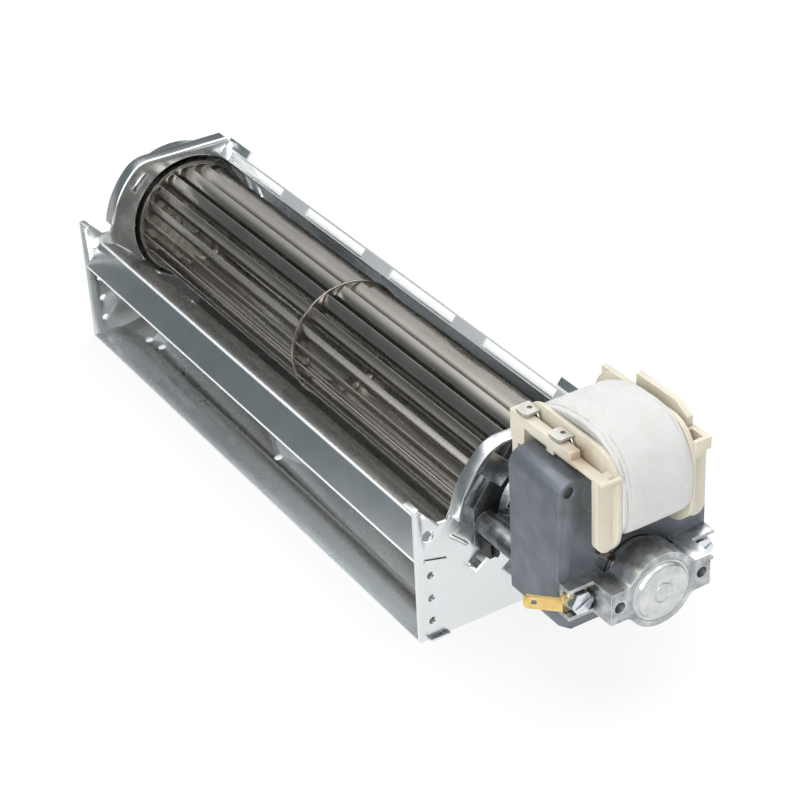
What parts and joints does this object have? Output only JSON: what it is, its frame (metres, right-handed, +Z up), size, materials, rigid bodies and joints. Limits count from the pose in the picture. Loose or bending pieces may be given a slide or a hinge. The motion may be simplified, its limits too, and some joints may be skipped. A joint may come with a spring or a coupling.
{
  "type": "cross flow fan",
  "caption": "Long drum impeller in folded galvanised sheet with a scroll wall and stabiliser, turned by a shaded-pole motor on one end plate.",
  "frame": {"origin": "middle of the flat outlet floor strip, on its underside, which is the plane the end plates stand on", "axes": "+X along the impeller towards the motor, +Y from the air outlet to the rear, +Z up"},
  "size_m": [0.3253, 0.0811, 0.0937],
  "materials": {
    "zinc_sheet": "satin",
    "wheel_metal": "satin",
    "die_cast": "rough cast",
    "bright_aluminium": "bright",
    "core_laminations": "satin",
    "rotor_steel": "satin",
    "bright_steel": "bright",
    "zinc_screws": "bright",
    "brass": "bright",
    "copper": "satin",
    "sintered_bronze": "matt",
    "cream_plastic": "satin",
    "white_tape": "woven",
    "black_plastic": "matt",
    "hub_rubber": "matt"
  },
  "bodies": {
    "housing": {"scroll_sheet": "zinc_sheet", "stabiliser_sheet": "zinc_sheet", "motor_end_plate": "zinc_sheet", "far_end_plate": "zinc_sheet", "far_bearing_cup": "zinc_sheet", "far_bearing": "sintered_bronze", "far_rubber_bush": "hub_rubber", "rear_bracket": "die_cast", "rear_bearing": "sintered_bronze", "wire_clip": "black_plastic", "stator_core": "core_laminations", "coil_bar": "core_laminations", "core_rivets": "bright_steel", "shading_rings": "copper", "bobbin": "cream_plastic", "coil_winding": "white_tape", "terminal_tabs": "bright_steel", "coil_leads": "copper", "front_bracket": "die_cast", "front_bearing": "sintered_bronze", "bearing_cap": "die_cast", "motor_screws": "zinc_screws", "earth_tab": "brass"},
    "rotor": {"impeller_blades": "wheel_metal", "motor_end_disc": "wheel_metal", "far_end_disc": "wheel_metal", "support_ring": "wheel_metal", "coupling_hub": "hub_rubber", "far_stub_axle": "bright_steel", "motor_shaft": "bright_steel", "rotor_core": "rotor_steel", "rotor_end_rings": "bright_aluminium"}
  },
  "joints": [
    {"name": "impeller_spin", "type": "hinge", "parent": "housing", "child": "rotor", "pos_m": [0, 0.0421, 0.039], "axis": [1, 0, 0], "continuous": true}
  ]
}
